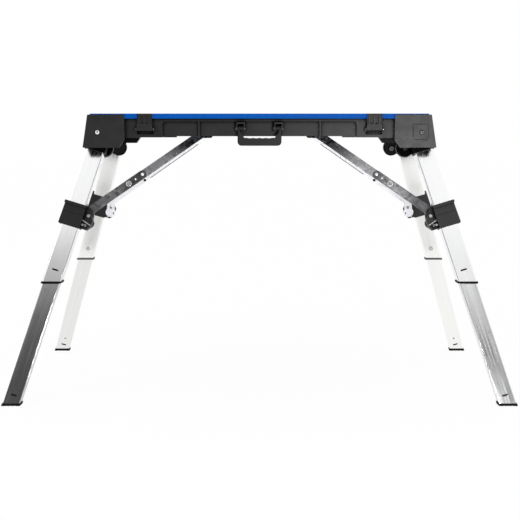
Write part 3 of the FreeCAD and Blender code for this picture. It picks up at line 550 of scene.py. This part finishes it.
# Profiles of the turned pieces, as radius and height in metres
WASHER = ((0.0082, 0.0001), (0.0082, 0.0011), (0.0076, 0.0014), (0.0048, 0.0014))
HEX_HEAD = ((0.0052, 0.0012), (0.0052, 0.0042), (0.0044, 0.0048))
KNOB = ((0.0086, 0.0), (0.0086, 0.0055), (0.0072, 0.0075), (0.0050, 0.0075), (0.0046, 0.0062))
RIVET_RADIUS = 0.0032
GLINT_TIP_RADIUS = 0.005
STUD_RADIUS = 0.0052
LOBE_RIVET_RADIUS = 0.0028
FLUSH = 0.0002


def dome(radius):
    """Profile of a domed end."""
    return ((radius, 0.0001), (radius, 0.0008), (radius * 0.7, 0.0022), (radius * 0.35, 0.0026))


def flush_end(radius):
    """Profile of an end that barely stands off its face."""
    return ((radius, 0.0), (radius, FLUSH))


# The brace's line from the foot pivot to the high pivot: X and height in the leg's plane
FOOT = Vector((0.515, 0.5696))
HIGH = Vector((0.175, 0.8033))
PLANE_STRETCH = 1 / math.cos(LEAN)
# Faces of the links, off the leg's plane
LINK_FACE = -0.0183
LINK_BACK = -0.0213
UPPER_BACK = -0.0246
# Places along the brace from its foot, and down from its line
WASHER_AT = 0.141
RIVET_AT = {"right": 0.171, "left": 0.166}
GLINT_TIP_AT = 0.192
STUD_AT = 0.1422
STUD_DOWN = 0.0068
LIP_FROM = {"right": 0.186, "left": 0.164}
LIP_TO = 0.37
LIP_DOWN = 0.0110
LIP_WIDE = 0.0026
LIP_THICK = 0.0003


def brace_spot(along, down=0.0):
    """X and height of a place along the brace from its foot, and down from its line."""
    run = Vector((HIGH.x - FOOT.x, (HIGH.y - FOOT.y) * PLANE_STRETCH)).normalized()
    step = run * along + Vector((-run.y, run.x)) * down
    return FOOT.x + step.x, FOOT.y + step.y / PLANE_STRETCH


def elbow_fasteners(corner):
    """A washer under a hexagon head, a rivet, and a bright dome near the end of the lower link, a
    painted glint.
    """
    for name, along, profile, look_name, sides in (
        ("washer", WASHER_AT, WASHER, "washer_steel", ROUND),
        ("bolt", WASHER_AT, HEX_HEAD, "fastener_steel", HEXAGON),
        ("rivet", RIVET_AT[corner.side], dome(RIVET_RADIUS), "washer_steel", ROUND),
        ("tip", GLINT_TIP_AT, dome(GLINT_TIP_RADIUS), "washer_steel", ROUND),
    ):
        turned(
            "elbow_" + name + "_" + corner.name,
            corner.point(*brace_spot(along), LINK_FACE), corner.out,
            profile, look_name, "lower_link_" + corner.name, sides,
        )


def brace_backs(corner):
    """The flush stud end behind the washer, and a dark strip under the upper link, painted as the
    shade along its lip.
    """
    turned(
        "elbow_stud_" + corner.name,
        corner.point(*brace_spot(STUD_AT, STUD_DOWN), LINK_BACK), -corner.out,
        flush_end(STUD_RADIUS), "ring_black", "lower_link_" + corner.name, HEXAGON,
    )
    start, end = [
        corner.point(*brace_spot(along, LIP_DOWN), UPPER_BACK)
        for along in (LIP_FROM[corner.side], LIP_TO)
    ]
    flat_strip(
        "lip_shade_" + corner.name, start, end, -corner.out, LIP_WIDE, LIP_THICK,
        "pin_steel", "upper_link_" + corner.name,
    )


# Places on the ear of the collar and on the lobe of the lower link, as X and height in the
# leg's plane, and the levels of the ear's face and of the knob's seat off it
STRIP_FROM = (0.5357, 0.5368)
STRIP_TO = (0.5098, 0.5195)
KNOB_AT = (0.5245, 0.5150)
LOBE_RIVET_AT = (0.5309, 0.5146)
EAR_FACE = 0.006
KNOB_SEAT = 0.002
STRIP_WIDE = 0.0032
STRIP_THICK = 0.0012


def ear_fasteners(corner):
    """A spring strip and a ribbed knob on the ear, and a rivet end on the lobe of the link."""
    flat_strip(
        "ear_strip_" + corner.name,
        corner.point(*STRIP_FROM, EAR_FACE), corner.point(*STRIP_TO, EAR_FACE), corner.out,
        STRIP_WIDE, STRIP_THICK, "fastener_steel", "leg_" + corner.name,
    )
    turned(
        "ear_knob_" + corner.name,
        corner.point(*KNOB_AT, KNOB_SEAT), corner.out,
        KNOB, "collar_black", "leg_" + corner.name,
    )
    turned(
        "lobe_rivet_" + corner.name,
        corner.point(*LOBE_RIVET_AT, LINK_BACK), -corner.out,
        flush_end(LOBE_RIVET_RADIUS), "button_steel", "lower_link_" + corner.name, SMALL_ROUND,
    )


# The recess reaches from above the middle of the bolt's head to just below it
RECESS_UP = 0.0052
RECESS_DOWN = 0.0008
RECESS_WIDE = 0.0022


def bolt_recess_shade(corner):
    """A flush black strip painted as the shade in the recess of a housing bolt's head, placed by
    the bolt's own points.
    """
    bolts = frame["nodes"]["housing_bolts"]
    points = [corner.mirrored(bolts.matrix_world @ vertex.co) for vertex in bolts.data.vertices]
    own = [point for point in points if point.x > 0 > point.y]
    mid_x, mid_z = [(min(p[i] for p in own) + max(p[i] for p in own)) / 2 for i in (X, Z)]
    face_y = min(point.y for point in own)
    start, end = [
        corner.mirrored(Vector((mid_x, face_y, mid_z + up))) for up in (RECESS_UP, -RECESS_DOWN)
    ]
    flat_strip(
        "bolt_slot_shade_" + corner.name, start, end, corner.mirrored(Vector((0, -1, 0))),
        RECESS_WIDE, FLUSH, "foot_rubber", "bench",
    )


# Slots of the tubes: how far up along the leg each lies, and the level off the leg's plane of the
# black sheet behind it, painted as the shade inside the slot; the leg's line meets the floor at
# LEG_AT_FLOOR
LEG_AT_FLOOR = 0.734
OUTER_SLOT = (0.4189, 0.0124)
INNER_SLOT = (0.0300, 0.0096)
SLOT_SHADE_LONG = 0.022
SLOT_SHADE_HIGH = 0.009
SLOT_SHADE_THICK = 0.0003


def slot_shade(name, slot, corner, body):
    """A black sheet behind a slot of a tube, painted as the shade inside it."""
    along, level = slot
    middle = corner.point(LEG_AT_FLOOR, 0, 0) + corner.up * along + corner.out * level
    half = corner.across * SLOT_SHADE_LONG / 2
    flat_strip(
        name, middle - half, middle + half, corner.out, SLOT_SHADE_HIGH, SLOT_SHADE_THICK,
        "foot_rubber", body,
    )


for corner in CORNERS:
    elbow_fasteners(corner)
    brace_backs(corner)
    ear_fasteners(corner)
    bolt_recess_shade(corner)
    slot_shade("outer_slot_shade_" + corner.name, OUTER_SLOT, corner, "leg_" + corner.name)
    slot_shade("inner_slot_shade_" + corner.name, INNER_SLOT, corner, "lower_leg_" + corner.name)


FLOOR_HALF = 30.0
FLOOR_GLOW = 0.92
WHITE = (1.0, 1.0, 1.0)


def floor():
    """A pale floor that the camera and glossy faces see as nearly white."""
    look = Look("pale_floor")
    look.finish(look.blend(look.spread(look.noise(3.0), 0.0, 1.0), grey(0.93), grey(0.96)), 0.9)
    glow = look.add("ShaderNodeEmission")
    look.feed(glow.inputs["Color"], WHITE)
    rays = look.add("ShaderNodeLightPath").outputs
    seen = look.calc("MAXIMUM", rays["Is Camera Ray"], rays["Is Glossy Ray"])
    mixed = look.add("ShaderNodeMixShader")
    look.feed(mixed.inputs[0], look.calc("MULTIPLY", seen, FLOOR_GLOW))
    look.feed(mixed.inputs[1], look.bsdf.outputs[0])
    look.feed(mixed.inputs[2], glow.outputs[0])
    look.feed(look.tree.nodes["Material Output"].inputs["Surface"], mixed.outputs[0])
    mesh = bpy.data.meshes.new("floor")
    ends = [(-1, -1), (1, -1), (1, 1), (-1, 1)]
    mesh.from_pydata([(x * FLOOR_HALF, y * FLOOR_HALF, 0) for x, y in ends], [], [(0, 1, 2, 3)])
    mesh.materials.append(look.mat)
    obj = bpy.data.objects.new("floor", mesh)
    scene.collection.objects.link(obj)
    return obj


floor()

# The unlit room: how much higher it reaches to the left, the levels between which it turns
# light, how bright it is, and where it ends towards the back
ROOM_TILT = 0.10
ROOM_LOW = 0.235
ROOM_HIGH = 0.34
ROOM_DARK = 0.12
ROOM_FRONT = -0.35
ROOM_BACK = 0.05


def studio():
    """White all round, with an unlit room low on the handle side, darker to the left."""
    world = bpy.data.worlds.new("studio")
    scene.world = world
    world.use_nodes = True
    sky = Graph(world.node_tree)
    way = sky.add("ShaderNodeTexCoord").outputs["Generated"]
    level = sky.calc("ADD", sky.axis(way, Z), sky.calc("MULTIPLY", sky.axis(way, X), ROOM_TILT))
    room = sky.spread(level, ROOM_DARK, 1.0, ROOM_LOW, ROOM_HIGH, "SMOOTHSTEP")
    behind = sky.spread(sky.axis(way, Y), 0.0, 1.0, ROOM_FRONT, ROOM_BACK, "SMOOTHSTEP")
    seen = sky.add("ShaderNodeLightPath").outputs["Is Camera Ray"]
    light = sky.calc("MAXIMUM", room, sky.calc("MAXIMUM", behind, seen))
    background = sky.tree.nodes["Background"]
    sky.feed(background.inputs["Strength"], light)
    sky.feed(background.inputs["Color"], WHITE)


studio()


def lamp(name, place, aim, size, power):
    """A rectangular lamp that shines from a place towards another."""
    light = bpy.data.lights.new(name, "AREA")
    light.shape = "RECTANGLE"
    light.size, light.size_y = size
    light.energy = power
    obj = bpy.data.objects.new(name, light)
    scene.collection.objects.link(obj)
    obj.location = place
    obj.rotation_euler = (Vector(aim) - Vector(place)).to_track_quat("-Z", "Y").to_euler()


lamp("key", place=(0.9, -3.3, 0.3), aim=(0.5, -0.25, 0.8), size=(0.5, 0.3), power=46.0)
lamp("fill", place=(-2.6, -2.2, 2.2), aim=(-0.2, 0, 0.6), size=(1.2, 1.8), power=15.0)

# The photo's camera stands level with the rails and looks down a little
CAMERA_PLACE = (0.0, -3.0, 0.786)
FOCAL_PX = 920.0
FRAME_PX = 520.0
HORIZON_PX = 137.1
SHIFT_PX = 0.5
SENSOR_MM = 36.0
camera = bpy.data.objects.new("camera", bpy.data.cameras.new("camera"))
scene.collection.objects.link(camera)
camera.data.sensor_width = SENSOR_MM
camera.data.lens = FOCAL_PX / FRAME_PX * SENSOR_MM
camera.data.shift_x = SHIFT_PX / FRAME_PX
camera.location = CAMERA_PLACE
pitch = math.atan((FRAME_PX / 2 - HORIZON_PX) / FOCAL_PX)
camera.rotation_euler = (math.pi / 2 - pitch, 0, 0)
scene.camera = camera
